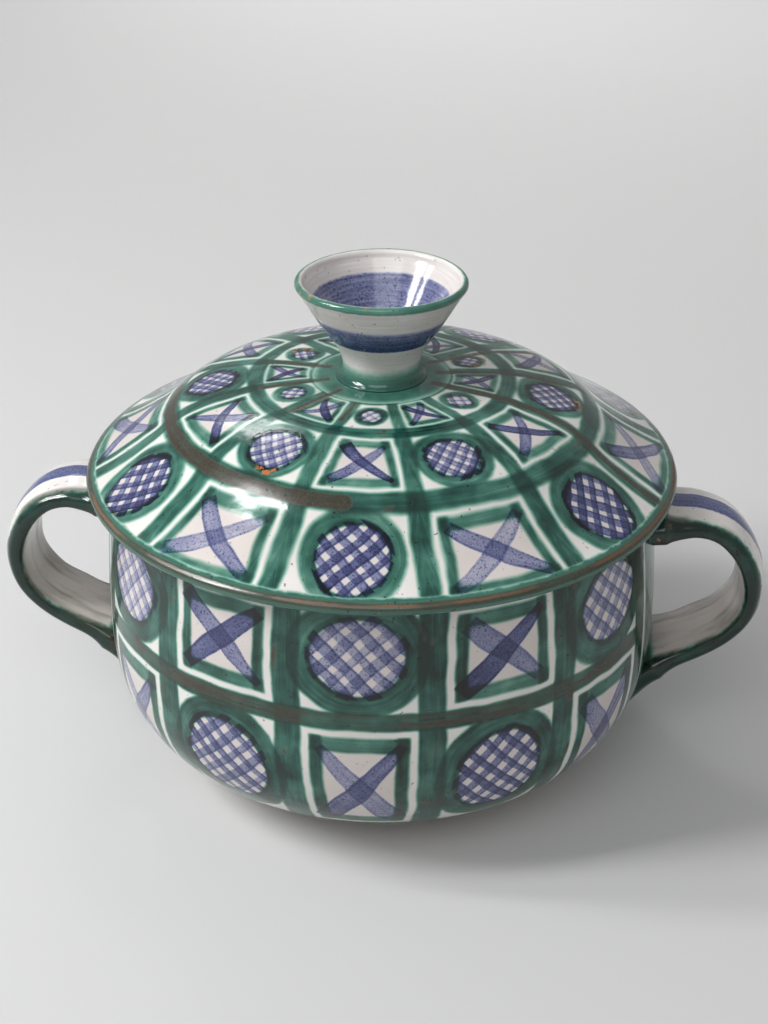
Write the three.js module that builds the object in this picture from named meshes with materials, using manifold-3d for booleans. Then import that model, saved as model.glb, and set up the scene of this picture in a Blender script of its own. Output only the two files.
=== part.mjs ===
// A lidded serving pot in tin-glazed earthenware: a wheel-thrown bowl with two pulled strap handles,
// and a loose domed lid with a locating flange underneath and a hollow flared knob on top.
// Millimetres, +Z up. The origin is the middle of the foot's underside, the handles lie along X.
import * as THREE from 'three';
import { mergeVertices } from 'three/addons/utils/BufferGeometryUtils.js';
import Module from 'manifold-3d';

// ---------- driving dimensions ----------

const joint_gap = 0.3; // slip joints and the lid's seat

// bowl
const belly_radius = 113;
const belly_height = 68;
const belly_squareness = 2.74; // exponent of the curve from the belly in to the foot, 2 is an ellipse
const mouth_inset = 4.2; // how far the mouth draws in from the belly
const pot_height = 129.2;
const pot_wall = 5;
const pot_floor = 6.5;
const rim_rounding = 1.5;
const foot_radius = 62;
const foot_height = 3;
const foot_width = 10;
const foot_recess = 2.5;
const foot_chamfer = 1;
const floor_dip = 0.5; // the floor is this much lower in its middle
const wall_squareness = 1.6; // how late the side starts to lean in, 1 is a straight side
const wall_middle = { lean: 0.4, rise: 0.6 }; // a point of the inside: share of the lean, share of the way up

// lid
const brim_overhang = 9.2; // beyond the outside of the mouth
const lip_rounding = 2.1;
const seat_depth = 3.1; // from the flat seat down to the lowest point of the lip
const seat_play = 1.5; // between the outside of the mouth and the inside of the lip
const lid_wall = 5;
const dome_height = 37; // above the middle of the lip
const shoulder_height = 28.5;
const shoulder_inset = 42; // in from the lid's edge
const brim_height = 17.7; // where the brim turns up into the shoulder
const brim_inset = 27;
const shoulder_bulge = 0.8; // half-way from the brim to the shoulder
const lip_top = { inset: 4.4, rise: 3.6 }; // where the brim's upper face meets the rounded edge
const brim_middle = { inset: 14, rise: 0.5 }; // the rise is a share of brim_height
const crown_line = [[12, 0.46], [28, 0.8]]; // [in from the shoulder, share of the rise up to the dome's top]
const flange_clearance = 2; // all round, inside the mouth
const flange_wall = 4.5;
const flange_depth = 12;

// knob
const knob_height = 39.6;
const knob_radius = 33.6;
const knob_waist_radius = 15.2;
const knob_waist_height = 4.2;
const knob_foot_radius = 18.6;
const knob_wall = 3.6;
const knob_cup_floor = 6.5;
const knob_collar = 1; // between the knob's foot and the edge of the dome's flat top
const knob_foot_rise = 1.5;
const knob_neck = { out: 2.9, height: 12 }; // where the waist starts to flare
const knob_flare_share = 0.58; // the height at which the flare is half-way out
const knob_cup_slope = 3; // the inside's steep wall stops this far above the cup's floor
const knob_cup_share = 0.4; // of the waist's radius: the flat middle of the cup's floor
const knob_cup_dip = 0.6;

// handles
const handle_width = 35;
const handle_thickness = 7.2;
const handle_crown = 2.8; // how far the strap's back bulges beyond its edges
const handle_reach = 38; // from the belly out to the middle of the strap
const handle_top_drop = 19.3; // from the pot's rim down to the top of the strap's middle line
const handle_bottom_height = 37.5; // where the strap's middle line meets the bowl
const handle_root_swell = 1.5; // the strap is this much thicker at its joints, on each face
const handle_squareness = 4; // of the strap's section, 2 is an ellipse
// the strap's middle line: [share of the reach, out from the belly; share of the drop, down from its top]
const handle_line = [
  [-0.268, 0.021],
  [0.126, 0.007],
  [0.395, 0],
  [0.658, 0.05],
  [0.868, 0.17],
  [0.99, 0.34],
  [0.958, 0.52],
  [0.763, 0.67],
  [0.447, 0.78],
  [0, 0.91],
  [-0.316, 1.083],
];
const handle_tilt = { left: 1.5, right: -1.5 }; // each handle sits a little high or low, as made by hand

// facets
const round_segments = 64;
const knob_segments = 40;
const strap_steps = 26;

// ---------- worked out from them ----------

const mouth_radius = belly_radius - mouth_inset;
const mouth_bore = mouth_radius - pot_wall;
const lid_radius = mouth_radius + brim_overhang;
const seat_z = pot_height + joint_gap;
const lip_z = seat_z - seat_depth + lip_rounding; // the middle of the lid's rounded edge
const dome_top = lip_z + dome_height;
const flange_radius = mouth_bore - flange_clearance;
const flange_bore = flange_radius - flange_wall;
const knob_z = dome_top + joint_gap;
const knob_seat_radius = knob_foot_radius + knob_collar;

const wasm = await Module();
wasm.setup();

// ---------- making solids ----------

// a solid of revolution about +Z, from points of (radius, height) that run up the outside and back
function spin(profile, segments) {
  const geometry = new THREE.LatheGeometry(profile, segments);
  geometry.rotateX(Math.PI / 2);
  return weld(geometry);
}

function weld(geometry) {
  geometry.deleteAttribute('normal');
  geometry.deleteAttribute('uv');
  return mergeVertices(geometry, 1e-4);
}

function toManifold(geometry) {
  return new wasm.Manifold(new wasm.Mesh({
    numProp: 3,
    vertProperties: new Float32Array(geometry.attributes.position.array),
    triVerts: new Uint32Array(geometry.index.array),
  }));
}

function fromManifold(solid) {
  const mesh = solid.getMesh();
  const geometry = new THREE.BufferGeometry();
  geometry.setAttribute('position', new THREE.BufferAttribute(mesh.vertProperties, 3));
  geometry.setIndex(new THREE.BufferAttribute(mesh.triVerts, 1));
  return geometry;
}

function points(...pairs) {
  return pairs.map(([radius, height]) => new THREE.Vector2(radius, height));
}

function arc(centre_radius, centre_height, radius, start_degrees, end_degrees, steps) {
  return Array.from({ length: steps + 1 }, (_, i) => {
    const angle = THREE.MathUtils.degToRad(start_degrees + ((end_degrees - start_degrees) * i) / steps);
    return new THREE.Vector2(
      centre_radius + radius * Math.cos(angle),
      centre_height + radius * Math.sin(angle),
    );
  });
}

// a curve moved sideways by a distance, towards its right-hand side as it is drawn
function offset(curve, distance) {
  return curve.map((point, i) => {
    const before = curve[Math.max(i - 1, 0)];
    const after = curve[Math.min(i + 1, curve.length - 1)];
    const along = after.clone().sub(before).normalize();
    return new THREE.Vector2(point.x + along.y * distance, point.y - along.x * distance);
  });
}

// ---------- bowl ----------

// the quarter curve that runs from (radius, belly_height) in and down to an end point
function underCurve(radius, end_radius, end_height, steps) {
  const n = belly_squareness;
  const drop = (belly_height - end_height) / (1 - (end_radius / radius) ** n) ** (1 / n);
  const last = Math.acos((end_radius / radius) ** (n / 2));
  return Array.from({ length: steps + 1 }, (_, i) => {
    const angle = (last * i) / steps;
    const out = radius * Math.cos(angle) ** (2 / n);
    return new THREE.Vector2(out, belly_height - drop * Math.sin(angle) ** (2 / n));
  });
}

// the bowl's outside from the foot up to the height given, grown outwards by a gap
function bowlOutside(gap, top) {
  const under = underCurve(belly_radius + gap, foot_radius + gap, foot_height - gap, 13).reverse();
  const side = [0.25, 0.5, 0.75, 1].map((share) => new THREE.Vector2(
    belly_radius + gap - mouth_inset * share ** wall_squareness,
    belly_height + (top - belly_height) * share,
  ));
  return [...under, ...side];
}

function makeBowl() {
  const rim_z = pot_height - rim_rounding;
  const outside = bowlOutside(0, rim_z);
  const inner_radius = belly_radius - pot_wall;
  const inside = underCurve(inner_radius, foot_radius - foot_width, pot_floor, 10);
  const recess_radius = foot_radius - foot_width;
  const rim_rise = rim_z - belly_height;
  return spin([
    ...points([0, foot_recess], [recess_radius, foot_recess]),
    ...points([recess_radius + foot_chamfer, 0], [foot_radius, 0]),
    ...outside.slice(0, -1),
    ...arc(mouth_radius - rim_rounding, rim_z, rim_rounding, 0, 90, 3),
    ...arc(mouth_bore + rim_rounding, rim_z, rim_rounding, 90, 180, 3),
    ...points([mouth_bore + mouth_inset * wall_middle.lean, belly_height + rim_rise * wall_middle.rise]),
    ...inside,
    ...points([0, pot_floor - floor_dip]),
  ], round_segments);
}

// ---------- handles ----------

// the strap's middle line on the +X side, from inside the bowl's wall at the top to the wall below
function strapLine() {
  const top = pot_height - handle_top_drop;
  const drop = top - handle_bottom_height;
  const stations = handle_line.map(([out, down]) => (
    new THREE.Vector3(belly_radius + handle_reach * out, 0, top - drop * down)
  ));
  return new THREE.CatmullRomCurve3(stations, false, 'centripetal');
}

// the strap's section, as offsets across its width and out from its middle line
function strapSection(swell) {
  const half_width = handle_width / 2;
  const half_depth = handle_thickness / 2 + swell;
  const corners = 20;
  return Array.from({ length: corners }, (_, i) => {
    const angle = (2 * Math.PI * i) / corners;
    const across = Math.sign(Math.cos(angle)) * Math.abs(Math.cos(angle)) ** (2 / handle_squareness);
    const out = Math.sign(Math.sin(angle)) * Math.abs(Math.sin(angle)) ** (2 / handle_squareness);
    const crown = out > 0 ? handle_crown * (1 - across * across) : 0;
    return [across * half_width, out * half_depth + crown];
  });
}

function makeStrap() {
  const line = strapLine();
  const vertices = [];
  const faces = [];
  for (let step = 0; step <= strap_steps; step += 1) {
    const share = step / strap_steps;
    const middle = line.getPointAt(share);
    const along = line.getTangentAt(share);
    const root = Math.abs(2 * share - 1) ** 6;
    for (const [across, out] of strapSection(handle_root_swell * root)) {
      vertices.push(middle.x - along.z * out, across, middle.z + along.x * out);
    }
  }
  const ring = strapSection(0).length;
  for (let step = 0; step < strap_steps; step += 1) {
    for (let i = 0; i < ring; i += 1) {
      const a = step * ring + i;
      const b = step * ring + ((i + 1) % ring);
      faces.push(a, b, a + ring, b, b + ring, a + ring);
    }
  }
  const last = strap_steps * ring;
  for (let i = 1; i < ring - 1; i += 1) {
    faces.push(0, i + 1, i, last, last + i, last + i + 1);
  }
  const geometry = new THREE.BufferGeometry();
  geometry.setAttribute('position', new THREE.BufferAttribute(new Float32Array(vertices), 3));
  geometry.setIndex(faces);
  return geometry;
}

// a strap whose ends are cut to lie against the bowl
function makeHandle(side) {
  const turn = side === 'left' ? Math.PI : 0;
  const strap = makeStrap().rotateZ(turn).translate(0, 0, handle_tilt[side]);
  const outline = [
    new THREE.Vector2(0, 0),
    ...bowlOutside(joint_gap, pot_height + joint_gap),
    new THREE.Vector2(0, pot_height + joint_gap),
  ];
  return fromManifold(toManifold(strap).subtract(toManifold(spin(outline, round_segments))));
}

// ---------- lid ----------

// the lid's upper surface, from the rounded edge in to the flat that carries the knob
function domeOutside() {
  const crown = crown_line.map(([inset, rise]) => [
    lid_radius - shoulder_inset - inset,
    lip_z + shoulder_height + (dome_height - shoulder_height) * rise,
  ]);
  const half_way = (brim_height + shoulder_height) / 2;
  const curve = new THREE.SplineCurve(points(
    [lid_radius - lip_top.inset, lip_z + lip_top.rise],
    [lid_radius - brim_middle.inset, lip_z + brim_height * brim_middle.rise],
    [lid_radius - brim_inset, lip_z + brim_height],
    [lid_radius - (brim_inset + shoulder_inset) / 2, lip_z + half_way + shoulder_bulge],
    [lid_radius - shoulder_inset, lip_z + shoulder_height],
    ...crown,
    [knob_seat_radius, dome_top],
  ));
  return curve.getPoints(15);
}

function makeDome() {
  const outside = domeOutside();
  const inside = offset(outside, -lid_wall).filter((point) => point.x < flange_bore - 2);
  return spin([
    new THREE.Vector2(0, dome_top - lid_wall),
    ...inside.reverse(),
    ...points([flange_bore - 1, seat_z], [mouth_radius + seat_play, seat_z]),
    ...arc(lid_radius - lip_rounding, lip_z, lip_rounding, -90, 65, 5),
    ...outside,
    new THREE.Vector2(0, dome_top),
  ], round_segments);
}

function makeFlange() {
  const top = seat_z - joint_gap;
  const bottom = top - flange_depth;
  const chamfer = 1;
  return spin(points(
    [flange_bore, top],
    [flange_bore, bottom + chamfer],
    [flange_bore + chamfer, bottom],
    [flange_radius - chamfer, bottom],
    [flange_radius, bottom + chamfer],
    [flange_radius, top],
    [flange_bore, top],
  ), round_segments);
}

function makeKnob() {
  const lip_radius = knob_wall / 2;
  const lip_height = knob_z + knob_height - lip_radius;
  const flare = new THREE.SplineCurve(points(
    [knob_waist_radius, knob_z + knob_waist_height],
    [knob_waist_radius + knob_neck.out, knob_z + knob_neck.height],
    [(knob_waist_radius + knob_radius) / 2, knob_z + knob_height * knob_flare_share],
    [knob_radius, lip_height],
  )).getPoints(9);
  const cup_floor_z = knob_z + knob_cup_floor;
  const inside = offset(flare, -knob_wall).filter((point) => point.y > cup_floor_z + knob_cup_slope);
  return spin([
    ...points([0, knob_z], [knob_foot_radius, knob_z]),
    ...points([knob_waist_radius + knob_collar, knob_z + knob_foot_rise]),
    ...flare,
    ...arc(knob_radius - lip_radius, lip_height, lip_radius, 30, 150, 3),
    ...inside.reverse(),
    ...points([knob_waist_radius * knob_cup_share, cup_floor_z + knob_cup_dip], [0, cup_floor_z]),
  ], knob_segments);
}

// ---------- assembly ----------

function piece(name, geometry, color, roughness) {
  geometry.computeVertexNormals();
  const material = new THREE.MeshStandardMaterial({ color, roughness, metalness: 0 });
  const mesh = new THREE.Mesh(geometry, material);
  mesh.name = name;
  return mesh;
}

const pot = new THREE.Group();
pot.add(
  piece('pot_body', makeBowl(), 0x5f9c84, 0.2),
  piece('handle_left', makeHandle('left'), 0xdfdad8, 0.22),
  piece('handle_right', makeHandle('right'), 0xd9d5d3, 0.22),
);

const lid = new THREE.Group();
lid.add(
  piece('lid_dome', makeDome(), 0x6aa58e, 0.18),
  piece('lid_flange', makeFlange(), 0xd8d2cc, 0.3),
  piece('lid_knob', makeKnob(), 0x8d93bd, 0.18),
);

const object = new THREE.Group();
object.add(pot, lid);

export default object;
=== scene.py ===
import math

import bmesh
import bpy
import numpy as np
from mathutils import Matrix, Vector


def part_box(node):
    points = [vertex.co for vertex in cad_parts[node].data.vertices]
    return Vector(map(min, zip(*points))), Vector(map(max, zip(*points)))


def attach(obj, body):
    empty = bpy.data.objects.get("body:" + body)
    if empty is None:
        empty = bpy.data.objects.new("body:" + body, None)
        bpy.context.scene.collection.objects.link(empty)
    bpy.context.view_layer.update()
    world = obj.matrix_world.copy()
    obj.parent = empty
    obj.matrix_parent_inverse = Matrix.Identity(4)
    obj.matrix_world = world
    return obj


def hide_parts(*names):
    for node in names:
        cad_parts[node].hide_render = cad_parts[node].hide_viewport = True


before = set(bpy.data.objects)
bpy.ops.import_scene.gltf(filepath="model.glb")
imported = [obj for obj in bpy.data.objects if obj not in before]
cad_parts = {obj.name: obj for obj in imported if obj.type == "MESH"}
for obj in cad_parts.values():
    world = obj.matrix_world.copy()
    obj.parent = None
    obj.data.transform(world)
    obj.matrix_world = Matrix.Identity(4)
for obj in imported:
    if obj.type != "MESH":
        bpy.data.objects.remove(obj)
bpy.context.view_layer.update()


# ------------------------------------------------------------------------------
# The bowl: red earthenware thrown on a wheel and turned at the foot, then dipped
# in white tin glaze and painted in two rows of checks, crosses against hatched
# discs, with a soft brush in copper green, cobalt blue and manganese brown.
# ------------------------------------------------------------------------------

MM = 0.001
TURN = 2 * math.pi

bowl_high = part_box("pot_body")[1]
belly_radius = bowl_high.y / MM
pot_height = bowl_high.z / MM
belly_height = 68
belly_squareness = 2.74
mouth_inset = 4.2
side_curve = 1.6
wall = 5
floor_height = 6.5
foot_radius = 62
foot_height = 3
foot_width = 10
foot_recess = 2.5
foot_round = 1
rim_rounding = 2.2


def under_curve(radius, end_radius, end_height, steps=60):
    """The bowl's quarter curve, from the belly in and down to the foot."""
    n = belly_squareness
    drop = (belly_height - end_height) / (1 - (end_radius / radius) ** n) ** (1 / n)
    angles = np.linspace(0, math.acos((end_radius / radius) ** (n / 2)), steps)
    return np.stack([radius * np.cos(angles) ** (2 / n), belly_height - drop * np.sin(angles) ** (2 / n)], 1)


def bend(centre, radius, start, end, steps=10):
    """A round stretch of a section, in degrees from straight out."""
    angles = np.radians(np.linspace(start, end, steps))
    return np.stack([centre[0] + radius * np.cos(angles), centre[1] + radius * np.sin(angles)], 1)


def flowing(points, step=1.0):
    """A smooth line through a few points, as a potter's rib would leave it."""
    points = np.array(points, float)
    padded = np.vstack([2 * points[0] - points[1], points, 2 * points[-1] - points[-2]])
    made = []
    for a, b, c, d in zip(padded, padded[1:], padded[2:], padded[3:]):
        t = np.linspace(0, 1, max(2, int(np.linalg.norm(c - b) / step)), endpoint=False)[:, None]
        bent = 2 * b + (c - a) * t + (2 * a - 5 * b + 4 * c - d) * t**2 + (3 * b - a - 3 * c + d) * t**3
        made.append(bent / 2)
    return np.vstack(made + [points[-1:]])


def evenly(section, step):
    """The same line with its points a step apart, and how far along it each one is."""
    run = np.concatenate([[0], np.cumsum(np.linalg.norm(np.diff(section, axis=0), axis=1))])
    keep = np.concatenate([[True], np.diff(run) > 1e-6])
    along = np.linspace(0, run[-1], int(run[-1] / step) + 1)
    return np.stack([np.interp(along, run[keep], section[keep, k]) for k in (0, 1)], 1), along


def throw(name, parts, step, segments, ovality, waver, start):
    """A thrown form, turned about the pot's axis from stretches of section, each (name, points).
    Its mesh keeps how far along the section each point is, zero where the stretch `start` begins."""
    section, along = evenly(np.vstack([points for _, points in parts]), step)
    first = [part for part, _ in parts].index(start)
    before = 0
    if first:
        ahead = np.vstack([points for _, points in parts[:first]])
        before = np.linalg.norm(np.diff(ahead, axis=0), axis=1).sum()
    # a thrown ring dries a little oval, with a weaker wave in it, and its rim dips on two sides
    oval_turned, wave_share, dip_turned = 0.7, 0.4, 1.9
    around = np.linspace(0, TURN, segments, endpoint=False)
    oval = ovality * np.sin(2 * around + oval_turned)
    wave = wave_share * ovality * np.sin(5 * around)
    dip = waver * np.sin(2 * around + dip_turned)
    radius = section[:, 0:1] * (1 + oval + wave)
    height = section[:, 1:2] + dip * (section[:, 0:1] / section[:, 0].max()) ** 2
    verts = np.stack([radius * np.sin(around), -radius * np.cos(around), height], 2).reshape(-1, 3) * MM
    rows = np.arange(len(section) - 1)[:, None] * segments
    a = rows + np.arange(segments)
    b = rows + (np.arange(segments) + 1) % segments
    quads = np.stack([a, b, b + segments, a + segments], 2).reshape(-1, 4)
    mesh = bpy.data.meshes.new(name)
    mesh.from_pydata(verts.tolist(), [], quads.tolist())
    run = mesh.attributes.new("along", "FLOAT", "POINT")
    run.data.foreach_set("value", np.repeat(along - before, segments).astype(np.float32))
    mesh.update()
    return finished(name, mesh)


def finished(name, mesh):
    """Welds a mesh, turns its faces out, smooths it and puts it in the scene."""
    work = bmesh.new()
    work.from_mesh(mesh)
    bmesh.ops.remove_doubles(work, verts=work.verts, dist=1e-7)
    bmesh.ops.recalc_face_normals(work, faces=work.faces)
    work.to_mesh(mesh)
    work.free()
    mesh.shade_smooth()
    piece = bpy.data.objects.new(name, mesh)
    bpy.context.scene.collection.objects.link(piece)
    return piece


mouth_radius = belly_radius - mouth_inset
mouth_bore = mouth_radius - wall
rim_centre = pot_height - rim_rounding
side_heights = np.linspace(belly_height, rim_centre, 50)
side_share = (side_heights - belly_height) / (rim_centre - belly_height)
bowl_side = np.stack([belly_radius - mouth_inset * side_share**side_curve, side_heights], 1)
recess_radius = foot_radius - foot_width
bowl_outline = [
    ("recess", [(0, foot_recess), (recess_radius - foot_round, foot_recess)]),
    ("foot", np.vstack([bend((recess_radius + foot_round, foot_round), foot_round, 180, 270, 5),
                        bend((foot_radius - foot_round, foot_round), foot_round, -90, 0, 5)])),
    ("outside", np.vstack([under_curve(belly_radius, foot_radius + 0.4, foot_height)[::-1], bowl_side])),
    ("rim", np.vstack([bend((mouth_radius - rim_rounding, rim_centre), rim_rounding, 0, 90),
                       bend((mouth_bore + rim_rounding, rim_centre), rim_rounding, 90, 180)])),
    ("inside", np.vstack([bowl_side[::-1] * (1, 1) - (wall, 0),
                          under_curve(belly_radius - wall, foot_radius - foot_width, floor_height),
                          [(0, floor_height - 0.5)]])),
]
bowl = throw("bowl", bowl_outline, step=1.6, segments=224, ovality=0.0012, waver=0.25, start="outside")


class Term:
    """A number worked out at every point of a surface, so that a painter's stroke reads as a formula."""

    def __init__(self, glaze, socket):
        self.glaze, self.socket = glaze, socket

    def __add__(self, other): return self.glaze.sum("ADD", self, other)
    def __radd__(self, other): return self.glaze.sum("ADD", other, self)
    def __sub__(self, other): return self.glaze.sum("SUBTRACT", self, other)
    def __rsub__(self, other): return self.glaze.sum("SUBTRACT", other, self)
    def __mul__(self, other): return self.glaze.sum("MULTIPLY", self, other)
    def __rmul__(self, other): return self.glaze.sum("MULTIPLY", other, self)
    def __truediv__(self, other): return self.glaze.sum("DIVIDE", self, other)
    def __pow__(self, other): return self.glaze.sum("POWER", self, other)
    def __neg__(self): return self.glaze.sum("MULTIPLY", self, -1)
    def __abs__(self): return self.glaze.sum("ABSOLUTE", self)
    def __gt__(self, other): return self.glaze.sum("GREATER_THAN", self, other)
    def __lt__(self, other): return self.glaze.sum("LESS_THAN", self, other)
    def floor(self): return self.glaze.sum("FLOOR", self)
    def root(self): return self.glaze.sum("SQRT", self)
    def most(self, other): return self.glaze.sum("MAXIMUM", self, other)
    def least(self, other): return self.glaze.sum("MINIMUM", self, other)
    def over(self, other): return self + other * (1 - self)


class Glaze:
    """A glossy fired surface with its own shader nodes."""

    def __init__(self, name):
        self.material = bpy.data.materials.new(name)
        self.material.use_nodes = True
        self.tree = self.material.node_tree
        self.shader = self.tree.nodes["Principled BSDF"]
        metres = self.node("TexCoord").outputs["Object"]
        place = self.node("VectorMath", {"operation": "SCALE"}, [metres, None, None, 1 / MM])
        self.place = Term(self, place.outputs[0])
        x, y, z = self.node("SeparateXYZ", {}, [self.place]).outputs
        self.x, self.y, self.z = Term(self, x), Term(self, y), Term(self, z)

    def node(self, kind, settings=None, inputs=()):
        made = self.tree.nodes.new("ShaderNode" + kind)
        for key, value in (settings or {}).items():
            setattr(made, key, value)
        for socket, value in zip(made.inputs, inputs):
            if isinstance(value, Term):
                value = value.socket
            if isinstance(value, bpy.types.NodeSocket):
                self.tree.links.new(value, socket)
            elif value is not None:
                socket.default_value = value
        return made

    def sum(self, operation, *inputs):
        return Term(self, self.node("Math", {"operation": operation}, inputs).outputs[0])

    def vector(self, x, y, z=0.0):
        return Term(self, self.node("CombineXYZ", {}, [x, y, z]).outputs[0])

    def noise(self, where, size, detail=2.0, rough=0.5):
        """Soft random cover from 0 to 1, its lumps about `size` mm across."""
        made = self.node("TexNoise", {}, [where, None, 1 / size, detail, rough])
        return Term(self, made.outputs[0])

    def chance(self, where):
        """Three random numbers for each whole step of `where`."""
        made = self.node("TexWhiteNoise", {"noise_dimensions": "3D"}, [where])
        return [Term(self, s) for s in self.node("SeparateXYZ", {}, [made.outputs[1]]).outputs]

    def step(self, value, low, high):
        """0 below low, 1 above high and smooth between."""
        made = self.node("MapRange", {"interpolation_type": "SMOOTHSTEP"}, [value, low, high, 0.0, 1.0])
        return Term(self, made.outputs[0])

    def inside(self, depth, soft=0.5):
        """How fully a brush mark covers a point that lies `depth` mm inside its edge."""
        return self.step(depth, -soft, soft)

    def tint(self, value, stops):
        """A colour for each thickness of a colour wash, from (thickness, hex colour) stops."""
        ramp = self.node("ValToRGB", {}, [value])
        spots = ramp.color_ramp.elements
        while len(spots) < len(stops):
            spots.new(0.5)
        for spot, (at, colour) in zip(spots, stops):
            spot.position, spot.color = at, linear(colour)
        return Term(self, ramp.outputs[0])

    def cover(self, share, under, over):
        """One colour over another."""
        made = self.node("Mix", {"data_type": "RGBA"})
        for index, value in ((0, share), (6, under), (7, over)):
            if isinstance(value, Term):
                self.tree.links.new(value.socket, made.inputs[index])
            elif index:
                made.inputs[index].default_value = linear(value)
            else:
                made.inputs[index].default_value = value
        return Term(self, made.outputs[2])

    def stain(self, under, thickness, stops):
        """A wash of colour that darkens whatever lies under it, as (thickness, hex colour) stops."""
        made = self.node("Mix", {"data_type": "RGBA", "blend_type": "MULTIPLY"})
        made.inputs[0].default_value = 1.0
        self.tree.links.new(under.socket, made.inputs[6])
        self.tree.links.new(self.tint(thickness, stops).socket, made.inputs[7])
        return Term(self, made.outputs[2])

    def fire(self, colour, roughness, relief, depth, slot):
        """Joins colour, roughness and relief (in shares of `depth` mm) to the shader."""
        glass_index = 1.52
        self.tree.links.new(colour.socket, self.shader.inputs["Base Color"])
        self.tree.links.new(roughness.socket, self.shader.inputs["Roughness"])
        bump = self.node("Bump", {}, [1.0, depth * MM])
        self.tree.links.new(relief.socket, bump.inputs["Height"])
        self.tree.links.new(bump.outputs[0], self.shader.inputs["Normal"])
        self.shader.inputs["IOR"].default_value = glass_index
        self.slot = slot

    def dress(self, piece, body, node):
        """Gives the piece this glaze and sets it on its body in place of the plain node."""
        piece.data.materials.append(self.material)
        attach(piece, body)
        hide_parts(node)


def linear(colour):
    """A hex colour as the shader's own red, green, blue and alpha, by the standard screen curve."""
    channels = [int(colour[i:i + 2], 16) / 255 for i in (0, 2, 4)]
    return [c / 12.92 if c <= 0.04045 else ((c + 0.055) / 1.055) ** 2.4 for c in channels] + [1.0]


tin_white = "dedbd8"
tin_shade = "cfc9c5"
# the next colour is the dull white of thin glaze inside the frames, and also painted shade on the handles' inner
# faces and over the knob
dull_tin_and_shade = "c4b8b3"
iron_speck = "6b5a4c"
clay = "a9653f"
fired_clay = "8c4f30"
# each wash runs from bare at 0 to its thickest at 1
green_wash = [(0.0, "ffffff"), (0.12, "d3ebe4"), (0.34, "91c5b6"),
              (0.58, "4f8c7d"), (0.8, "2a6156"), (1.0, "14332c")]
blue_wash = [(0.0, "ffffff"), (0.14, "dde1f2"), (0.36, "a8b1d6"),
             (0.6, "6c77ab"), (0.8, "4a5389"), (1.0, "282b50")]
brown_wash = [(0.0, "5d6653"), (0.5, "4b4236"), (1.0, "2c231b")]
rust_wash = [(0.0, "a98a4c"), (0.5, "b9713a"), (1.0, "8a3f1c")]


def tin_ground(g):
    """Thick white tin glaze: pinkish grey where thin, with iron specks and a few pinholes."""
    mottle = g.noise(g.place, 34, 3)
    fleck = g.noise(g.place, 1.5, 1, 0.4)
    ground = g.cover(g.step(mottle, 0.35, 0.75) * 0.8, tin_white, tin_shade)
    speck = g.step(fleck, 0.735, 0.77)
    return g.cover(speck * 0.75, ground, iron_speck), speck


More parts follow.
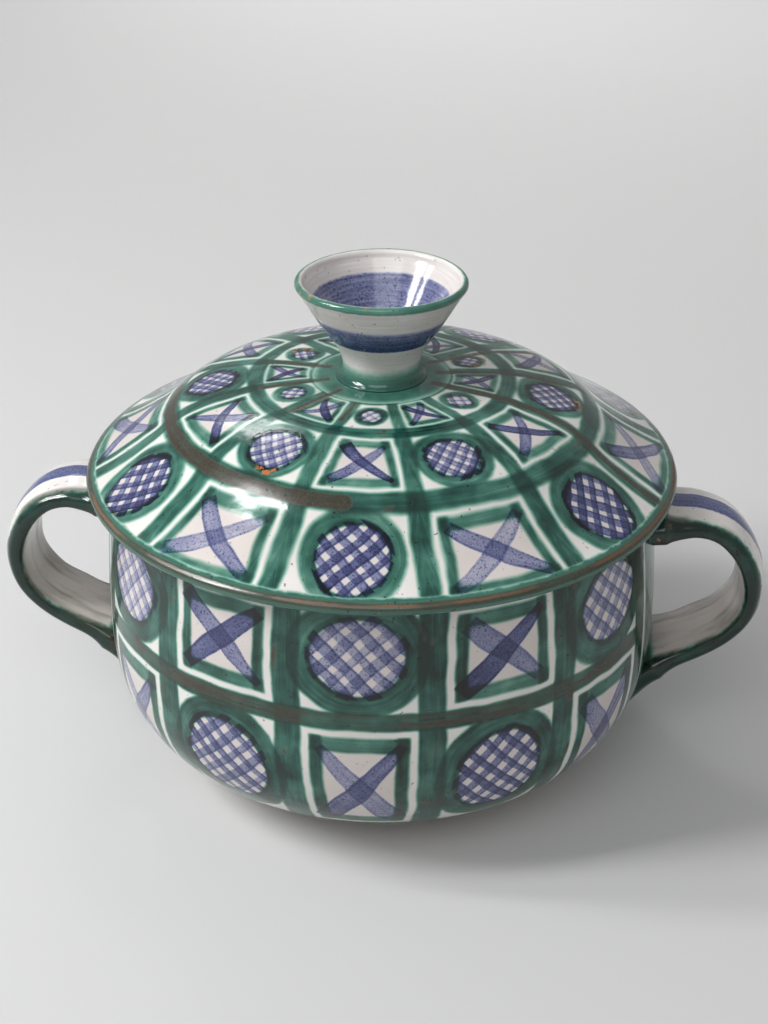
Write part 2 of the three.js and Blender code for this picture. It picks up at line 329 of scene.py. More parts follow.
def tiles(g, across, along, half_width, rows, row_of, column, side, shift):
    """The painted checks, as the thickness of each wash. across and along are mm from a tile's middle,
    and half_width is half a column. rows holds each row's sizes, and row_of picks the value for the row
    that a point is in. side tells apart surfaces whose columns are numbered alike, and shift is 0 or 1,
    to put a disc or a cross in the first tile."""
    size = {key: row_of([row[key] for row in rows]) for key in rows[0]}
    row = row_of(list(range(len(rows))))
    a, b, c = g.chance(g.vector(column, row, side))
    d, e, f = g.chance(g.vector(column, row, side + 7.5))
    # the hand strays a few mm over the length of a stroke, and shakes a little all the time
    stray, stray_pace = 2.8, 0.06
    shake_across, shake_along = 0.5, 0.4
    drift = g.node("TexNoise", {}, [g.place, None, stray_pace, 1.0]).outputs[1]
    hand = g.node("SeparateXYZ", {}, [drift]).outputs
    tremble = g.noise(g.place, 5.0, 2)
    u = across + (Term(g, hand[0]) - 0.5) * stray + (tremble - 0.5) * shake_across
    v = along + (Term(g, hand[1]) - 0.5) * stray + (tremble - 0.5) * shake_along
    wide, tall = abs(u), abs(v)
    parity = (column + row + shift) / 2
    disc = 1 - (parity - parity.floor()) * 2

    # brush hairs along the bars and round the rings, and pools where the wash ran
    hair_share, pool_share = 0.5, 0.86
    bar_hair = g.noise(g.vector(across, along * 0.05, column * 5 + row), 1.8, 3, 0.7)
    ring_hair = g.noise(g.vector(g.x * 0.05, g.y * 0.05, along), 2.0, 3, 0.65)
    pool = g.noise(g.place, 15, 2, 0.6)
    thick = size["load"] + pool * pool_share

    # the grid: upright bars, and the rings that the wheel draws
    bar_edge = half_width - size["bar"]
    ring_extra = 0.06
    bar_ink = thick + (bar_hair - 0.5) * hair_share
    ring_ink = thick + (ring_hair - 0.5) * hair_share
    bar = g.inside(wide - bar_edge, size["soft"]) * bar_ink
    ring = g.inside(tall - size["tall"], size["soft"]) * (ring_ink + ring_extra)

    # a square frame of four strokes, with a cross of two more in it
    corner_round, level_stroke_share, level_share = 2.0, 1.35, 0.8
    frame_wide = bar_edge - size["gap"]
    frame_tall = size["tall"] - size["gap"] * 0.9
    stroke = size["stroke"]
    level_stroke = stroke * level_stroke_share
    outer = g.inside(g.sum("SMOOTH_MIN", frame_wide - wide, frame_tall - tall, corner_round), size["soft"])
    upright = outer * g.inside(wide - frame_wide + stroke, size["soft"]) * bar_ink
    level = outer * g.inside(tall - frame_tall + level_stroke, size["soft"]) * ring_ink
    square = upright.over(level * level_share) * (1 - disc)
    reach_wide = frame_wide - stroke * 0.5
    reach_tall = frame_tall - stroke * 0.7
    reach = reach_wide * reach_wide + reach_tall * reach_tall
    bow_depth, thinnest, belly, lopsided = 1.1, 0.72, 0.34, 0.7
    wet_share, rim_share, tip_share, own_share, under_share = 0.16, 0.16, 0.22, 0.14, 0.7
    cross = None
    for lean, bow, heavy, length in ((1, a - 0.5, b - 0.5, c), (-1, d - 0.5, e - 0.5, f)):
        travel = (u * reach_wide + v * reach_tall * lean) / reach
        aside = (u * reach_tall - v * reach_wide * lean) / reach.root()
        middle = 1 - travel * travel
        aside = aside + bow * bow_depth * middle
        half_wide = size["cross"] * (thinnest + belly * middle + travel * heavy * lopsided)
        mark = g.inside(half_wide - abs(aside), 0.4)
        mark = mark * (1 - g.step(abs(travel), 0.86 + length * 0.12, 0.93 + length * 0.12))
        hairs = g.noise(g.vector(travel * 2.2, aside, column * 9.1 + lean), 1.8, 3, 0.65)
        wet = g.step(travel * (heavy * 4), 0.4, 1.0)
        rim = g.inside(abs(aside) - half_wide + 1.0, 0.5) * rim_share
        tip = g.step(abs(travel), 0.72, 0.94) * g.step(length, 0.1, 0.6) * tip_share
        ink = size["cross_ink"] + (hairs - 0.5) * 0.55 + wet * wet_share + rim + tip + (c - 0.5) * own_share
        mark = mark * ink
        cross = mark if cross is None else cross.over(mark * under_share)
    cross = cross * (1 - disc)

    # a hatched disc with a green ring drawn round it, a little thinner on its outside
    v_disc = v - size["lift"]
    round_off = ((u / size["disc_wide"]) ** 2 + (v_disc / size["disc_tall"]) ** 2).root()
    beyond = (round_off - 1) * size["disc_wide"].least(size["disc_tall"]) + (tremble - 0.5) * 0.8
    turn = g.sum("ARCTAN2", v_disc, u)
    halo_hair = g.noise(g.vector(beyond, turn * 1.4, column + row * 3), 2.0, 3, 0.65)
    halo_ink = thick + (halo_hair - 0.5) * 0.55 + g.step(beyond, 3.0, 0.5) * 0.12 - 0.04
    halo_edge = size["halo"] + (b - 0.5) * 1.5
    halo = g.inside(beyond + 0.3, 0.7) * g.inside(halo_edge - beyond, size["soft"]) * disc * halo_ink
    # the hatching leans a little more upright than level, and its lines overlap at the crossings
    hatch_across, hatch_along, crossing_share = 0.72, 0.69, 0.8
    hatch = None
    for lean, nudge in ((1, a), (-1, d)):
        count = (u * hatch_across + v_disc * hatch_along * lean) / size["pitch"] + nudge
        line = count.floor()
        off = (count - line - 0.5) * size["pitch"]
        own = g.chance(g.vector(line, column, row + lean * 3))[0]
        half_line = size["line"] * (0.82 + own * 0.36)
        mark = g.inside(half_line - abs(off), 0.32) * g.inside(own * 1.8 + 0.1 - beyond, 0.5)
        wet_side = g.inside(0.45 - abs(off - half_line + 0.5), 0.3) * 0.20
        end = g.step(beyond, -2.6, 0.4) * (0.1 + own * 0.3)
        mark = mark * (size["disc_ink"] + own * 0.16 + wet_side + end + (c - 0.5) * 0.16)
        hatch = mark if hatch is None else hatch.over(mark * crossing_share)
    hatch = hatch * disc
    # on half of the discs a rust blister breaks through the ring, near its top
    blister_half, blister_off, blister_spread = 4.0, 1.6, 12
    rust = g.inside(blister_off - abs(beyond - blister_off), 0.8)
    rust = rust * g.inside(blister_half - abs(u - (a - 0.5) * blister_spread), 1.0)
    rust = rust * disc * (v > 0) * g.step(g.noise(g.place, 1.8, 2), 0.46, 0.6) * (d > 0.5)
    # the white inside a frame or a ring is the dull white of thin glaze
    in_frame = g.inside(frame_wide - stroke * 0.5 - wide, 1).least(g.inside(frame_tall - stroke - tall, 1))
    dulled_and_shaded = (in_frame * (1 - disc)).most(g.inside(-beyond, 1) * disc)
    green = bar.over(ring).over(halo).over(square)
    return {"green": green, "blue": cross.most(hatch), "rust": rust, "dulled_and_shaded": dulled_and_shaded,
            "lines": ring.most(bar), "hair": ring_hair, "pool": pool, "tremble": tremble}


def painted(g, wash, brown=None):
    """Lays the washes over the white, lightest first, as they went on."""
    dull_share, green_grain, brown_share, rust_share = 0.55, 0.10, 0.92, 0.9
    ground, speck = tin_ground(g)
    grain = g.noise(g.place, 0.75, 2, 0.6)
    # dull white: thin glaze inside the tiles' frames and rings, and painted shade on the handles' inner faces and
    # all over the knob
    ground = g.cover(wash["dulled_and_shaded"] * dull_share, ground, dull_tin_and_shade)
    green = wash["green"] + (grain - 0.5) * green_grain * g.step(wash["green"], 0.05, 0.3)
    colour = g.stain(ground, green, green_wash)
    # cobalt settles in dark dots as the glaze melts
    dots = g.step(grain, 0.56, 0.70) * 0.36 + (grain - 0.5) * 0.28
    colour = g.stain(colour, wash["blue"] + dots * g.step(wash["blue"], 0.08, 0.3), blue_wash)
    if brown is not None:
        brown_ink = brown * (0.4 + grain * 0.9)
        colour = g.cover(brown * brown_share, colour, g.tint(brown_ink, brown_wash))
    colour = g.cover(wash["rust"] * rust_share, colour, g.tint(grain, rust_wash))
    return colour, speck, grain


def glazed_relief(g, along, speck, grain, paint):
    """Throwing rings under the glaze, its fine orange peel, pinholes, and the paint's own thickness."""
    ring_deep, peel_deep, grain_deep, pinhole_deep, paint_deep = 0.22, 0.16, 0.012, 0.30, 0.06
    rings = g.noise(g.vector(g.x * 0.01, g.y * 0.01, along), 8, 2) * ring_deep
    peel = g.noise(g.place, 8, 2) * peel_deep + grain * grain_deep
    return rings + peel - speck * pinhole_deep + paint * paint_deep


g = Glaze("bowl_glaze")
along = Term(g, g.node("Attribute", {"attribute_name": "along"}).outputs["Fac"])
angle = g.sum("ARCTAN2", g.x, -g.y) * (360 / TURN)
back = abs(angle) > 90
side_sign = (angle > 0) * 2 - 1
facing = angle - back * side_sign * 180
sway = (g.noise(g.place, 60, 1) - 0.5) * 1.6
turned_by = -0.4
facing = facing + sway + turned_by
column_width = 27.4
columns_each_side = 2.5
column = (facing / column_width + 0.5).floor()
radius = (g.x * g.x + g.y * g.y).root()
mm_per_degree = radius * (TURN / 360)
ring_height = 103.8
lower_edge, upper_edge = 40.5, 150.2
upper = along > ring_height
# the bowl's washes carry a heavier load than the lid's: partly the paint's own depth, partly painted shade for the
# bowl's shaded sides
bowl_rows = [
    {"middle": 72.0, "tall": 27.8, "bar": 5.3, "soft": 0.9, "load": 0.42, "gap": 3.3, "stroke": 4.8,
     "cross": 4.2, "cross_ink": 0.46, "lift": 2.6, "disc_wide": 17.2, "disc_tall": 19.4, "halo": 7.6,
     "pitch": 6.6, "line": 1.65, "disc_ink": 0.40},
    {"middle": 128.2, "tall": 20.6, "bar": 5.3, "soft": 0.9, "load": 0.42, "gap": 3.3, "stroke": 4.2,
     "cross": 3.8, "cross_ink": 0.58, "lift": 1.8, "disc_wide": 17.4, "disc_tall": 15.4, "halo": 8.6,
     "pitch": 6.9, "line": 2.0, "disc_ink": 0.26},
]


def bowl_row(values):
    return upper * (values[1] - values[0]) + values[0]


across = (facing - column * column_width) * mm_per_degree
row_middle = bowl_row([row["middle"] for row in bowl_rows])
wash = tiles(g, across, along - row_middle, mm_per_degree * (column_width / 2),
             bowl_rows, bowl_row, column, back * 3, 1)
# beyond the panel of checks lie the handles, with green dragged down beside each strap
panel_margin, outer_drag_off, inner_drag_off, joint_half = 2, 31, 21, 18
from_handle = abs(abs(facing) - 90) * mm_per_degree
in_panel = g.inside(column_width * columns_each_side + panel_margin - abs(facing), 0.4)
drag = g.noise(g.vector(from_handle, along * 0.06, side_sign * 3), 2.2, 3)
strap_middle = 112
outer_drag = g.inside(4.5 - abs(from_handle - outer_drag_off), 1.2)
inner_drag = g.inside(5.5 - abs(from_handle - inner_drag_off), 1.0)
smear = outer_drag.most(inner_drag) * (0.35 + drag * 0.75)
joint_smear = g.inside(joint_half - from_handle, 2.0) * g.step(abs(along - strap_middle), 24, 34)
smear = smear.most(joint_smear * (0.3 + drag * 0.6))
green = wash["green"] * in_panel + smear * (1 - in_panel)
# a ring of green above the foot, and no paint below it or past the rim
low_band_half, rim_overlap = 4.0, 4.5
low_band = g.inside(low_band_half - abs(along - lower_edge), 0.8)
painted_zone = g.inside(along - lower_edge, 0.8) * g.inside(upper_edge + rim_overlap - along, 0.8)
wash["green"] = (green * painted_zone).most(low_band * (0.4 + wash["hair"] * 0.4))
for name in ("blue", "rust", "dulled_and_shaded"):
    wash[name] = wash[name] * painted_zone * in_panel
# manganese drawn along the middle ring, and blots of it where the lines are thick
streak_half, streak_share, blot_share = 2.8, 0.85, 0.9
streak = g.step(wash["hair"], 0.38, 0.60) * g.inside(streak_half - abs(along - ring_height), 1.4)
streak = streak * g.step(g.noise(g.place, 26, 1), 0.30, 0.52)
blot = g.step(g.noise(g.vector(g.x, g.y, g.z * 0.6), 9, 2), 0.60, 0.74)
blot = blot * g.step(wash["lines"], 0.2, 0.4) * painted_zone
brown = (streak * streak_share).most(blot * blot_share)
colour, speck, grain = painted(g, wash, brown)
# bare clay: the foot's underside, and a thin worn line round the rim
worn_half, worn_past_edge, worn_share = 1.4, 3.5, 0.85
foot_bare = g.inside(0.8 + (wash["tremble"] - 0.5) * 2 - along, 0.5)
rim_worn = g.inside(worn_half - abs(along - upper_edge - worn_past_edge), 0.7)
rim_worn = rim_worn * g.step(g.noise(g.place, 7, 2), 0.3, 0.5)
bare = foot_bare.most(rim_worn * worn_share)
colour = g.cover(bare, colour, g.cover(g.noise(g.place, 3, 3), clay, fired_clay))
roughness = 0.10 + g.noise(g.place, 22, 2) * 0.07 + brown * 0.12 + bare * 0.55
relief = glazed_relief(g, along, speck, grain, wash["green"] + wash["blue"])
g.fire(colour, roughness, relief, 0.9, "bowl_glaze")
g.dress(bowl, "pot", "pot_body")


# ------------------------------------------------------------------------------
# The two handles: straps of clay pulled by hand and pressed on to the leather-hard
# bowl, their ends smeared out with a thumb. White outside with a blue stroke down
# the middle, green along both edges, and dark where glaze has pooled at the joints.
# ------------------------------------------------------------------------------

handle_width = 35
handle_thickness = 7.2
handle_crown = 2.8
handle_reach = 38
handle_top = pot_height - 19.3
handle_low = 37.5
root_spread = 3.4
root_depth = 1.8
root_reach = 4.5
handle_tilt = 1.5
strap_step = 1.3
strap_corners = 56
side_outline = np.vstack([under_curve(belly_radius, foot_radius, foot_height)[::-1], bowl_side])


def pull_handle(name, turned, tilt):
    """One strap, swept along its middle line, with its ends spread against the bowl's wall.
    Its mesh keeps the distance along the strap, the distance across it, and which face is which."""
    reach = belly_radius + handle_reach
    span = handle_top - handle_low
    # the strap's middle line, from inside the wall at the top round to inside it below
    middle = [(mouth_radius - 6, handle_top - 1.5), (mouth_radius + 9, handle_top - 0.5), (reach - 23, handle_top),
              (reach - 13, handle_top - span * 0.05), (reach - 5, handle_top - span * 0.17),
              (reach - 0.4, handle_top - span * 0.34), (reach - 1.6, handle_top - span * 0.52),
              (reach - 9, handle_top - span * 0.67), (reach - 21, handle_top - span * 0.78),
              (belly_radius, handle_low + span * 0.09), (belly_radius - 12, handle_low - 6)]
    line, along = evenly(flowing(middle), strap_step)
    ahead = np.gradient(line, axis=0)
    ahead /= np.linalg.norm(ahead, axis=1)[:, None]
    outward = np.stack([-ahead[:, 1], ahead[:, 0]], 1)
    from_wall = line[:, 0] - np.interp(line[:, 1], side_outline[:, 1], side_outline[:, 0])
    root = np.exp(-np.maximum(from_wall - 4, 0) / root_reach)
    # the section is a flat strap with rounded corners, squarer across than it is through
    across_square, out_square = 0.5, 0.55
    corners = strap_corners
    angles = np.linspace(0, TURN, corners, endpoint=False)
    c, s = np.cos(angles), np.sin(angles)
    across = np.sign(c) * np.abs(c) ** across_square
    out = np.sign(s) * np.abs(s) ** out_square
    ripple = 0.25 * np.sin(along / 7.0) + 0.18 * np.sin(along / 3.1 + 1)
    half_width = (handle_width / 2 - 0.3 + ripple + root * root_spread)[:, None]
    half_depth = (handle_thickness / 2 + 0.12 * np.sin(along / 9.0 + 2) + root * root_depth)[:, None]
    # the back is crowned, and two finger grooves run along it either side of the middle
    groove_deep, groove_off, groove_wide = 0.35, 0.45, 0.13
    groove = groove_deep * np.exp(-((np.abs(across) - groove_off) / groove_wide) ** 2)
    crown = np.where(out > 0, handle_crown * (1 - across**2) - groove, 0)
    depth = out * half_depth + crown
    x = line[:, 0:1] + outward[:, 0:1] * depth
    z = line[:, 1:2] + outward[:, 1:2] * depth
    y = across * half_width
    # nothing goes deeper than the skin of the bowl's wall
    skin, skin_lean = 1.6, 0.3
    wall_radius = np.interp(z, side_outline[:, 1], side_outline[:, 0]) - skin + skin_lean * out
    x = np.where(np.hypot(x, y) < wall_radius, np.sqrt(np.maximum(wall_radius**2 - y**2, 0)), x)
    turn = -1 if turned else 1
    verts = np.stack([x * turn, y * turn, z + tilt], 2).reshape(-1, 3) * MM
    rows = np.arange(len(line) - 1)[:, None] * corners
    a = rows + np.arange(corners)
    b = rows + (np.arange(corners) + 1) % corners
    quads = np.stack([a, b, b + corners, a + corners], 2).reshape(-1, 4).tolist()
    last = (len(line) - 1) * corners
    mesh = bpy.data.meshes.new(name)
    mesh.from_pydata(verts.tolist(), [], quads + [list(range(corners)), list(range(last, last + corners))])
    kept = {"along": along[:, None], "across": y, "face": out, "root": root[:, None]}
    for key, values in kept.items():
        spread = np.broadcast_to(values, y.shape).reshape(-1).astype(np.float32)
        mesh.attributes.new(key, "FLOAT", "POINT").data.foreach_set("value", spread)
    return finished(name, mesh)


g = Glaze("handle_glaze")
along, across, face, root = [Term(g, g.node("Attribute", {"attribute_name": key}).outputs["Fac"])
                             for key in ("along", "across", "face", "root")]
left = g.x < 0
tremble = g.noise(g.place, 3, 2)
drift = (g.noise(g.place, 30, 1) - 0.5) * 5
hair = g.noise(g.vector(across, along * 0.06, left * 9), 1.5, 3)
pool = g.noise(g.place, 14, 2)
stripe_half, edge_off, dark_half, dark_off = 5.2, 15.2, 1.3, 14.6
stripe = g.inside(stripe_half + (tremble - 0.5) * 1.2 - abs(across + drift), 0.5) * (face > 0)
edges = g.inside(abs(across) - edge_off + (tremble - 0.5) * 2 + face * 0.9, 1.3)
smear = g.step(root + (g.noise(g.place, 9, 2) - 0.5) * 0.5, 0.62, 0.95)
dark_edge = g.inside(dark_half - abs(abs(across) - dark_off + face), 1.0)
dark_edge = dark_edge * g.step(g.noise(g.place, 20, 1), 0.42, 0.6)
root_green = smear * (0.45 + hair * 0.4) * (0.5 + g.inside(abs(across) - 6, 3) * 0.5)
green = (edges * (0.68 + pool * 0.5 + hair * 0.15)).most(root_green)
# painted shade on the strap's inner face, which turns towards the bowl: grey-brown patches here, and its white
# dulled in the dict below
inner_face_shade = (face < -0.3) * g.step(g.noise(g.vector(across * 0.8, along * 0.16, 4), 5, 3), 0.44, 0.76)
wash = {
    "green": green,
    # painted shade: the inner face's white dulled grey
    "dulled_and_shaded": (face < -0.2) * (1.1 + hair * 0.5),
    "blue": stripe * (0.40 + hair * 0.5) * (1 - smear * 0.7),
    "rust": g.step(g.noise(g.place, 5, 2), 0.69, 0.73) * smear * 0.8,
}
pooled = smear * g.step(g.noise(g.place, 11, 2), 0.5, 0.7)
brown = (dark_edge * 0.75).most(pooled * 0.7).most(inner_face_shade * 0.62)
colour, speck, grain = painted(g, wash, brown)
roughness = 0.12 + g.noise(g.place, 18, 2) * 0.08 + inner_face_shade * 0.1
g.fire(colour, roughness, glazed_relief(g, across * 0.8, speck, grain, green), 0.8, "handle_glaze")
g.dress(pull_handle("left_handle", True, handle_tilt), "pot", "handle_left")
g.dress(pull_handle("right_handle", False, -handle_tilt), "pot", "handle_right")


# ------------------------------------------------------------------------------
# The lid: the same red clay, thrown upside down as a low cone with a turned-out
# brim. Twelve painted columns run out from the knob through three rows of checks,
# under loose brown strokes, and the thick glaze has worn to rust along its edge.
# ------------------------------------------------------------------------------

lid_radius = 118
lid_wall = 5
lip_rounding = 2.1
seat_height = pot_height + 0.3
lip_height = 128.5
lid_top = 165.5
knob_seat = 19.6
flange_bore = 97.3
brim_radius, brim_top = 91, 146.2
shoulder_radius, shoulder_top = 76, 157

lid_outside = flowing([
    (knob_seat, lid_top), (48, 163.9), (64, 160.9), (shoulder_radius, shoulder_top),
    ((shoulder_radius + brim_radius) / 2, 152.4), (brim_radius, brim_top), (104, 137.4), (113.6, 132.1)])
lid_inside = flowing([
    (95.3, 137.0), (90.0, 140.6), (81.0, 147.0), (72.5, 152.9), (62.0, 156.1), (47.0, 158.9), (20.0, 160.5)])
lid_outline = [
    ("crown", [(0, lid_top), (knob_seat - 2, lid_top)]),
    ("outside", lid_outside),
    ("lip", bend((lid_radius - lip_rounding, lip_height), lip_rounding, 62, -90, 12)),
    ("seat", [(mouth_radius + 2.4, seat_height), (flange_bore + 1, seat_height)]),
    ("inside", np.vstack([lid_inside, [(0, lid_top - lid_wall)]])),
]
lid = throw("lid", lid_outline, step=1.6, segments=224, ovality=0.0010, waver=0.30, start="outside")
lid_run = np.linalg.norm(np.diff(lid_outside, axis=0), axis=1).sum()

g = Glaze("lid_glaze")
along = Term(g, g.node("Attribute", {"attribute_name": "along"}).outputs["Fac"])
angle = g.sum("ARCTAN2", g.x, -g.y) * (360 / TURN)
sway = (g.noise(g.place, 55, 1) - 0.5) * 1.6
turned_by, sideways = 1.5, 2
turned = angle + turned_by + sway + g.x / (g.x * g.x + g.y * g.y + 1).root() * sideways
column_width = 30
columns = 12
column = (turned / column_width + 0.5).floor()
index = column - ((column + columns / 2) / columns).floor() * columns
radius = (g.x * g.x + g.y * g.y).root()
mm_per_degree = radius * (TURN / 360)
inner_ring, outer_ring = 32, 67.5
lid_rows = [
    {"middle": 20.0, "tall": 9.4, "bar": 2.3, "soft": 0.9, "load": 0.27, "gap": 1.2, "stroke": 2.0,
     "cross": 1.5, "cross_ink": 0.66, "lift": 0.0, "disc_wide": 4.4, "disc_tall": 4.6, "halo": 3.0,
     "pitch": 3.4, "line": 0.9, "disc_ink": 0.14},
    {"middle": 49.8, "tall": 14.0, "bar": 3.2, "soft": 1.1, "load": 0.31, "gap": 2.2, "stroke": 3.0,
     "cross": 2.1, "cross_ink": 0.58, "lift": 0.6, "disc_wide": 10.4, "disc_tall": 9.6, "halo": 5.0,
     "pitch": 4.4, "line": 1.3, "disc_ink": 0.32},
    {"middle": 91.0, "tall": 19.0, "bar": 3.9, "soft": 1.3, "load": 0.30, "gap": 2.9, "stroke": 4.0,
     "cross": 3.2, "cross_ink": 0.44, "lift": -0.6, "disc_wide": 13.7, "disc_tall": 14.6, "halo": 6.4,
     "pitch": 6.0, "line": 1.75, "disc_ink": 0.52},
]
past_inner, past_outer = along > inner_ring, along > outer_ring


def lid_row(values):
    return past_inner * (values[1] - values[0]) + past_outer * (values[2] - values[1]) + values[0]


across = (turned - column * column_width) * mm_per_degree
row_middle = lid_row([row["middle"] for row in lid_rows])
lid_side = 5
wash = tiles(g, across, along - row_middle, mm_per_degree * (column_width / 2),
             lid_rows, lid_row, index, lid_side, 0)
# the wash pools round the knob, and the checks stop where a plain green edge begins
collar_end, paint_start = 9, 9.5
edge_start = lid_run + 2.6
edge_end = lid_run + 9.8
collar = g.inside(collar_end - along, 3.5)
edge = g.inside(along - edge_start + (wash["tremble"] - 0.5) * 2.4, 1.0) * g.inside(edge_end - along, 1.0)
open_zone = g.inside(along - paint_start, 1.0) * g.inside(edge_start - along, 1.0)
collar_ink = collar * (0.4 + wash["pool"] * 0.6)
edge_ink = edge * (0.5 + wash["hair"] * 0.4)
wash["green"] = (wash["green"] * open_zone).most(edge_ink).most(collar_ink)
for name in ("blue", "rust", "dulled_and_shaded"):
    wash[name] = wash[name] * open_zone


def brown_stroke(at, start, end, thick):
    """A loose stroke of brown run outwards over the green, `at` degrees round the lid."""
    aside = abs((angle - at + sway) * mm_per_degree)
    ends = g.inside(along - start, 1.2) * g.inside(end - along, 1.2)
    return g.inside(thick + (wash["tremble"] - 0.5) * 1.4 - aside, 0.7) * ends


# one long stroke follows the outer ring between two angles, with rounded ends
sweep_from, sweep_to, sweep_half = -97, -4.5, 2.9
past_end = ((angle - sweep_to) * mm_per_degree).most((sweep_from - angle) * mm_per_degree).most(0)
off_ring = along - outer_ring - 0.8
sweep = (past_end * past_end + off_ring * off_ring).root()
brown = g.inside(sweep_half + (wash["tremble"] - 0.5) * 1.2 - sweep, 0.7)
# loose strokes run outwards, each as (degrees round, start, end, half its width)
brown_strokes = (
    (-105, 3, 30, 1.6), (-73, 3, 31, 1.6), (-42, 3, 30, 1.4), (72, 3, 106, 2.0),
    (99, 3, 60, 1.7), (125, 3, 60, 1.6), (-16, 10, 26, 0.9), (160, 7, 64, 1.6),
)
for stroke in brown_strokes:
    brown = brown.most(brown_stroke(*stroke))
brown = brown * (0.72 + wash["hair"] * 0.4)
blot = g.step(g.noise(g.place, 8, 2), 0.64, 0.76) * g.step(wash["lines"], 0.2, 0.4) * open_zone
brown = brown.most(blot * 0.75)
# the lip: brown where the glaze ran off it, and rubbed through to clay in a thin broken line
lip_half, lip_off, rub_half, rub_off, rub_share = 1.7, 6.0, 0.5, 5.6, 0.55
worn_clay = [(0.0, "5e3a24"), (0.5, "845436"), (1.0, "a8704a")]
rub = g.inside(rub_half - abs(along - lid_run - rub_off + (wash["tremble"] - 0.5) * 1.2), 0.4)
rub = rub * g.step(g.noise(g.place, 24, 2), 0.44, 0.58)
lip_brown = g.inside(lip_half - abs(along - lid_run - lip_off), 0.8)
brown = brown.most(lip_brown * (0.5 + wash["pool"] * 0.6))
colour, speck, grain = painted(g, wash, brown)
colour = g.cover(rub * rub_share, colour, g.tint(grain, worn_clay))
roughness = 0.10 + g.noise(g.place, 22, 2) * 0.06 + brown * 0.1 + rub * 0.35
relief = glazed_relief(g, along, speck, grain, wash["green"] + wash["blue"])
g.fire(colour, roughness, relief, 0.9, "lid_glaze")
g.dress(lid, "lid", "lid_dome")


# ------------------------------------------------------------------------------
# The flange: a ring of clay thrown under the lid that drops inside the bowl's
# mouth and keeps the lid from sliding. Thin white glaze, wiped off its lower edge
# so that it shows the bare red clay.
# ------------------------------------------------------------------------------

flange_low, flange_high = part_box("lid_flange")
flange_radius = flange_high.y / MM
flange_top, flange_bottom = flange_high.z / MM, flange_low.z / MM
edge_rounding = 1.7
edge_middle = flange_bottom + edge_rounding
flange_outline = [
    ("inside", [(flange_bore, flange_top), (flange_bore, edge_middle)]),
    ("edge", np.vstack([bend((flange_bore + edge_rounding, edge_middle), edge_rounding, 180, 270, 6),
                        bend((flange_radius - edge_rounding, edge_middle), edge_rounding, -90, 0, 6)])),
    ("outside", [(flange_radius, flange_top), (flange_bore, flange_top)]),
]
flange = throw("flange", flange_outline, step=0.8, segments=200, ovality=0.0006, waver=0.0, start="inside")

g = Glaze("flange_clay")
wear = g.noise(g.place, 6, 3)
rings = g.noise(g.vector(g.x * 0.02, g.y * 0.02, g.z), 1.3, 2)
wiped_height, thin_glaze = 3.2, "b59a86"
bare = g.inside(flange_bottom + wiped_height + (wear - 0.5) * 3 - g.z, 0.6)
ground, speck = tin_ground(g)
clay_colour = g.cover(g.noise(g.place, 2.5, 3), clay, fired_clay)
colour = g.cover(bare, g.cover(g.step(wear, 0.62, 0.8) * 0.4, ground, thin_glaze), clay_colour)
roughness = 0.2 + rings * 0.12 + bare * 0.5
g.fire(colour, roughness, rings * 0.6 + wear * 0.3 - bare * 0.4, 0.8, "flange_clay")
g.dress(flange, "lid", "lid_flange")


# ------------------------------------------------------------------------------
# The knob: a little hollow cup thrown off the hump and set on the crown of the
# lid, its foot smoothed in with a wet brush. Green at its foot and along its lip,
# a blue band round its waist and another inside, spun on as it turned.
# ------------------------------------------------------------------------------

knob_low, knob_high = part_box("lid_knob")
knob_foot = knob_low.z / MM
knob_top = knob_high.z / MM
knob_radius = knob_high.y / MM
lip_half = 1.8
knob_outside = flowing([
    (18.3, knob_foot - 0.2), (16.2, knob_foot + 1.5), (15.3, knob_foot + 4.2), (15.7, knob_foot + 8),
    (18.1, knob_foot + 13.5), (24.4, knob_foot + 23), (knob_radius - 0.2, knob_top - 2.2)], 0.6)
knob_inside = flowing([(knob_radius - 3.6, knob_top - 2.4), (22.0, knob_foot + 25), (15.4, knob_foot + 15.5),
                       (11.5, knob_foot + 9.2), (6, knob_foot + 7.0), (0, knob_foot + 6.5)], 0.6)
knob_outline = [
    ("under", [(0, knob_foot - 0.2), (18.0, knob_foot - 0.2)]),
    ("outside", knob_outside),
    ("lip", bend((knob_radius - lip_half, knob_top - lip_half), lip_half, -10, 170, 12)),
    ("inside", knob_inside),
]
knob = throw("knob", knob_outline, step=0.9, segments=144, ovality=0.0035, waver=0.25, start="outside")
knob_run = np.linalg.norm(np.diff(knob_outside, axis=0), axis=1).sum()

g = Glaze("knob_glaze")
along = Term(g, g.node("Attribute", {"attribute_name": "along"}).outputs["Fac"])
tremble = g.noise(g.place, 2.5, 2)
hair = g.noise(g.vector(g.x * 0.05, g.y * 0.05, along), 1.0, 3)
slow = (g.noise(g.place, 20, 1) - 0.5) * 2.4
foot_end, lip_band_half, lip_band_off = 8.2, 1.9, 1.8
foot_ink = 0.30 + g.step(along, 8, 2) * 0.42 + hair * 0.12
foot_band = g.inside(foot_end + slow + (tremble - 0.5) * 1.5 - along, 2.0) * foot_ink
lip_band = g.inside(lip_band_half - abs(along - knob_run - lip_band_off + (tremble - 0.5) * 0.8), 0.6)
lip_band = lip_band * (0.42 + g.noise(g.place, 9, 1) * 0.3)
band_start, band_end, band_fade = 20.2, 31.5, 0.030
band = g.inside(along - band_start + (tremble - 0.5) * 0.8, 0.6) * g.inside(band_end + slow - along, 1.6)
band = band * (0.66 - (along - band_start) * band_fade + hair * 0.42)
inner_edge = knob_run + 13.5
well = g.inside(along - inner_edge + (tremble - 0.5) * 0.9, 0.6) * (0.28 + hair * 0.50)
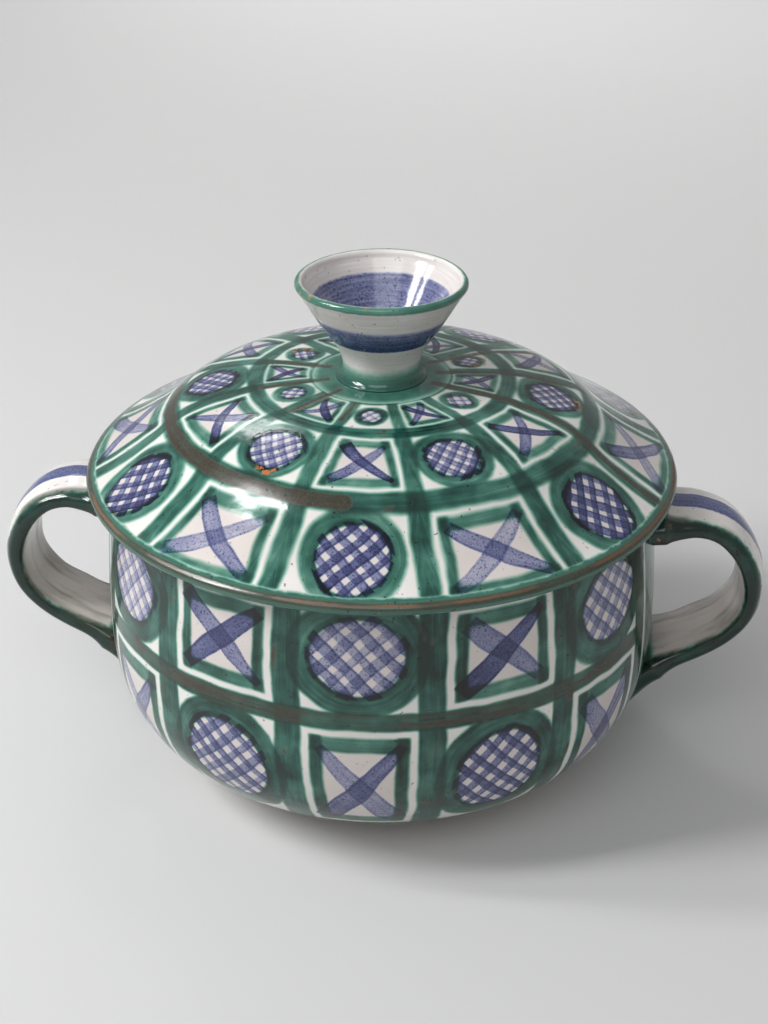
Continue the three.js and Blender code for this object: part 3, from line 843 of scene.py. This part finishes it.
wash = {
    "green": foot_band.most(lip_band),
    # painted shade: the knob's white dulled greyer all over, in streaks along the brush hairs
    "dulled_and_shaded": g.step(hair, 0.3, 0.7) * 0.9,
    "blue": band.most(well),
    "rust": lip_band * g.step(g.noise(g.place, 6, 2), 0.6, 0.68),
}
colour, speck, grain = painted(g, wash)
roughness = 0.09 + g.noise(g.place, 15, 2) * 0.05
relief = glazed_relief(g, along, speck, grain, wash["green"] + wash["blue"])
g.fire(colour, roughness, relief, 0.8, "knob_glaze")
g.dress(knob, "lid", "lid_knob")


# ------------------------------------------------------------------------------
# Where it stands: a pale floor, soft light from the upper left, and the camera.
# ------------------------------------------------------------------------------


def plain(name, colour, rough):
    made = bpy.data.materials.new(name)
    made.use_nodes = True
    made.node_tree.nodes["Principled BSDF"].inputs["Base Color"].default_value = linear(colour)
    made.node_tree.nodes["Principled BSDF"].inputs["Roughness"].default_value = rough
    return made


floor_radius, floor_gap = 6, 0.0002
bpy.ops.mesh.primitive_circle_add(vertices=96, radius=floor_radius, fill_type="NGON", location=(0, 0, -floor_gap))
floor = bpy.context.object
floor.name = "floor"
floor.data.materials.append(plain("floor", "cbcbcb", 0.9))

scene = bpy.context.scene
scene.world = bpy.data.worlds.new("studio")
scene.world.use_nodes = True
sky = scene.world.node_tree.nodes["Background"]
sky.inputs["Color"].default_value = linear("ffffff")
sky.inputs["Strength"].default_value = 0.38
scene.view_settings.view_transform = "Standard"


def area_light(name, place, aim, wide, tall, power, spread=180):
    lamp = bpy.data.lights.new(name, "AREA")
    lamp.shape, lamp.size, lamp.size_y, lamp.energy = "RECTANGLE", wide, tall, power
    lamp.spread = math.radians(spread)
    lit = bpy.data.objects.new(name, lamp)
    lit.location = place
    lit.rotation_euler = (Vector(aim) - Vector(place)).to_track_quat("-Z", "Y").to_euler()
    scene.collection.objects.link(lit)


area_light("window", place=(-1.02, -0.44, 1.12), aim=(0, 0, 0.1), wide=0.24, tall=0.60, power=13.5)
area_light("window_half", place=(-1.10, -0.12, 1.12), aim=(0, 0, 0.1), wide=0.13, tall=0.60, power=7)
area_light("front_fill", place=(-0.3, -2.0, 2.6), aim=(0, 0, 0), wide=2.2, tall=1.4, power=21)
area_light("backdrop_light", place=(-1.1, 3.0, 2.2), aim=(0.1, 1.6, 0), wide=1.2, tall=1.2, power=6, spread=44)

lens = bpy.data.cameras.new("camera")
lens.lens, lens.sensor_width = 58, 36
camera = bpy.data.objects.new("camera", lens)
camera.location = (0.0477, -0.5934, 0.4288)
camera.rotation_euler = (math.radians(61.35), 0, math.radians(4.5))
scene.collection.objects.link(camera)
scene.camera = camera
